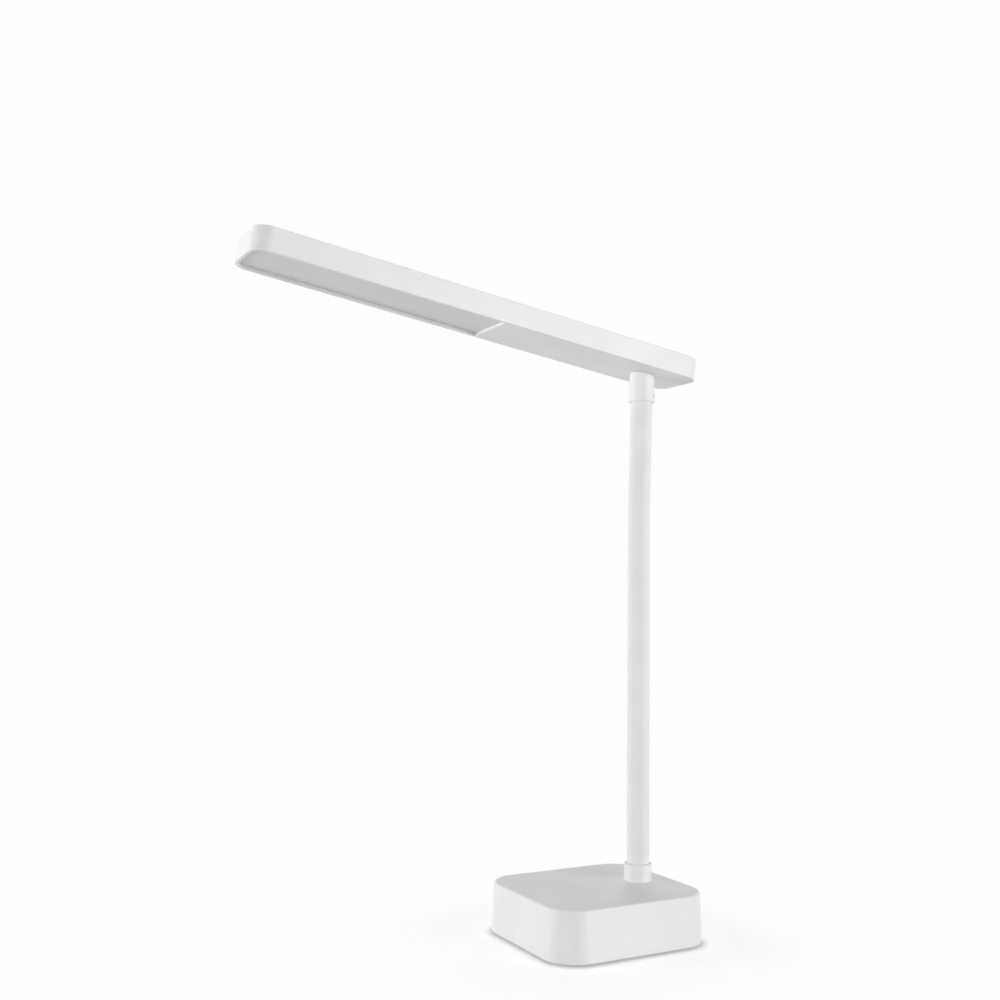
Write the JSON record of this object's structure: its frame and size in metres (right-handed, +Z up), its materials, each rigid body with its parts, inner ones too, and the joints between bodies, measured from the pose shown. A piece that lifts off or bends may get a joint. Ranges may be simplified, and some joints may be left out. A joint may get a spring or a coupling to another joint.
{
  "type": "folding led desk lamp",
  "caption": "Desk lamp with a weighted rounded square base, a slim stem that bends as a gooseneck at its top, and a long flat LED head that swivels on the neck's end.",
  "frame": {"origin": "centre of the base's footprint, on the desk surface under the rubber pad", "axes": "+Z up; the light head reaches forward over -Y, the stem stands near the base's back edge at +Y; X runs across"},
  "size_m": [0.082, 0.2541, 0.3425],
  "materials": {
    "white_abs": "fine satin moulded ABS",
    "white_silicone": "matt silicone rubber",
    "steel": "plain zinc-plated steel",
    "dark_steel": "black oxide steel",
    "grey_rubber": "matt rubber",
    "cast_iron": "rough cast iron",
    "brass": "turned brass",
    "cell_wrap": "shrink wrap over a steel can",
    "circuit_board": "green solder mask",
    "black_plastic": "moulded component bodies",
    "copper_foil": "copper foil",
    "wire_jacket": "PVC wire insulation",
    "lead_jacket": "PVC cable jacket",
    "opal_acrylic": "frosted opal acrylic",
    "white_reflector": "white polycarbonate sheet",
    "white_board": "white solder mask on aluminium",
    "led_phosphor": "yellow phosphor in white packages"
  },
  "bodies": {
    "base": {"base_shell": "white_abs", "base_plate": "white_abs", "foot_pad": "grey_rubber", "base_screws": "steel", "counterweight": "cast_iron", "weight_screws": "steel", "battery_cell": "cell_wrap", "main_board": "circuit_board", "board_parts": "black_plastic", "board_screws": "steel", "usb_inlet": "steel", "touch_pad": "copper_foil", "base_wires": "wire_jacket", "base_collar": "white_abs", "stem_fitting": "brass", "clamp_washer": "steel", "clamp_nut": "steel", "stem_tube": "steel", "stem_sleeve": "white_silicone", "lamp_lead": "lead_jacket"},
    "neck_01": {"neck_link_01": "steel", "neck_sleeve_01": "white_silicone"},
    "neck_02": {"neck_link_02": "steel", "neck_sleeve_02": "white_silicone"},
    "neck_03": {"neck_link_03": "steel", "neck_sleeve_03": "white_silicone"},
    "neck_04": {"neck_link_04": "steel", "neck_sleeve_04": "white_silicone"},
    "neck_05": {"neck_link_05": "steel", "neck_sleeve_05": "white_silicone"},
    "neck_06": {"neck_link_06": "steel", "neck_sleeve_06": "white_silicone"},
    "neck_07": {"neck_link_07": "steel", "neck_sleeve_07": "white_silicone"},
    "neck_08": {"neck_link_08": "steel", "neck_sleeve_08": "white_silicone"},
    "neck_09": {"neck_link_09": "steel", "neck_sleeve_09": "white_silicone"},
    "neck_10": {"neck_link_10": "steel", "neck_sleeve_10": "white_silicone"},
    "neck_11": {"neck_link_11": "steel", "neck_sleeve_11": "white_silicone"},
    "neck_end": {"neck_sleeve_12": "white_silicone", "neck_ferrule": "steel", "head_collar": "white_abs", "grub_screw": "dark_steel", "stop_washer": "steel", "swivel_nut": "steel"},
    "head": {"head_housing": "white_abs", "head_cover": "white_abs", "diffuser": "opal_acrylic", "reflector": "white_reflector", "led_board": "white_board", "leds": "led_phosphor", "head_lead": "lead_jacket"}
  },
  "joints": [
    {"name": "neck_fore", "type": "hinge", "parent": "base", "child": "neck_01", "pos_m": [0, 0.027, 0.2211], "axis": [1, 0, 0], "range_deg": [-8, 12]},
    {"name": "neck_side", "type": "hinge", "parent": "neck_01", "child": "neck_02", "pos_m": [0, 0.02714, 0.2265], "axis": [0, 0.9997, -0.0262], "range_deg": [-13, 13]},
    {"name": "neck_fore_2", "type": "hinge", "parent": "neck_02", "child": "neck_03", "pos_m": [0, 0.02728, 0.2319], "axis": [1, 0, 0], "range_deg": [-8, 12]},
    {"name": "neck_side_2", "type": "hinge", "parent": "neck_03", "child": "neck_04", "pos_m": [0, 0.02742, 0.23729], "axis": [0, 0.9997, -0.0262], "range_deg": [-13, 13]},
    {"name": "neck_fore_3", "type": "hinge", "parent": "neck_04", "child": "neck_05", "pos_m": [0, 0.02757, 0.24269], "axis": [1, 0, 0], "range_deg": [-8, 12]},
    {"name": "neck_side_3", "type": "hinge", "parent": "neck_05", "child": "neck_06", "pos_m": [0, 0.02771, 0.24809], "axis": [0, 0.9997, -0.0262], "range_deg": [-13, 13]},
    {"name": "neck_fore_4", "type": "hinge", "parent": "neck_06", "child": "neck_07", "pos_m": [0, 0.02785, 0.25349], "axis": [1, 0, 0], "range_deg": [-8, 12]},
    {"name": "neck_side_4", "type": "hinge", "parent": "neck_07", "child": "neck_08", "pos_m": [0, 0.02799, 0.25889], "axis": [0, 0.9997, -0.0262], "range_deg": [-13, 13]},
    {"name": "neck_fore_5", "type": "hinge", "parent": "neck_08", "child": "neck_09", "pos_m": [0, 0.02813, 0.26429], "axis": [1, 0, 0], "range_deg": [-8, 12]},
    {"name": "neck_side_5", "type": "hinge", "parent": "neck_09", "child": "neck_10", "pos_m": [0, 0.02827, 0.26968], "axis": [0, 0.9997, -0.0262], "range_deg": [-13, 13]},
    {"name": "neck_fore_6", "type": "hinge", "parent": "neck_10", "child": "neck_11", "pos_m": [0, 0.02841, 0.27508], "axis": [1, 0, 0], "range_deg": [-8, 12]},
    {"name": "neck_side_6", "type": "hinge", "parent": "neck_11", "child": "neck_end", "pos_m": [0, 0.02855, 0.28048], "axis": [0, 0.9997, -0.0262], "range_deg": [-13, 13]},
    {"name": "head_swivel", "type": "hinge", "parent": "neck_end", "child": "head", "pos_m": [0, 0.02904, 0.29887], "axis": [0, 0.1392, 0.9903], "range_deg": [-90, 90]}
  ],
  "couplings": [
    {"joint": "neck_fore_2", "follows": "neck_fore", "ratio": 1},
    {"joint": "neck_side_2", "follows": "neck_side", "ratio": 1},
    {"joint": "neck_fore_3", "follows": "neck_fore", "ratio": 1},
    {"joint": "neck_side_3", "follows": "neck_side", "ratio": 1},
    {"joint": "neck_fore_4", "follows": "neck_fore", "ratio": 1},
    {"joint": "neck_side_4", "follows": "neck_side", "ratio": 1},
    {"joint": "neck_fore_5", "follows": "neck_fore", "ratio": 1},
    {"joint": "neck_side_5", "follows": "neck_side", "ratio": 1},
    {"joint": "neck_fore_6", "follows": "neck_fore", "ratio": 1},
    {"joint": "neck_side_6", "follows": "neck_side", "ratio": 1}
  ]
}
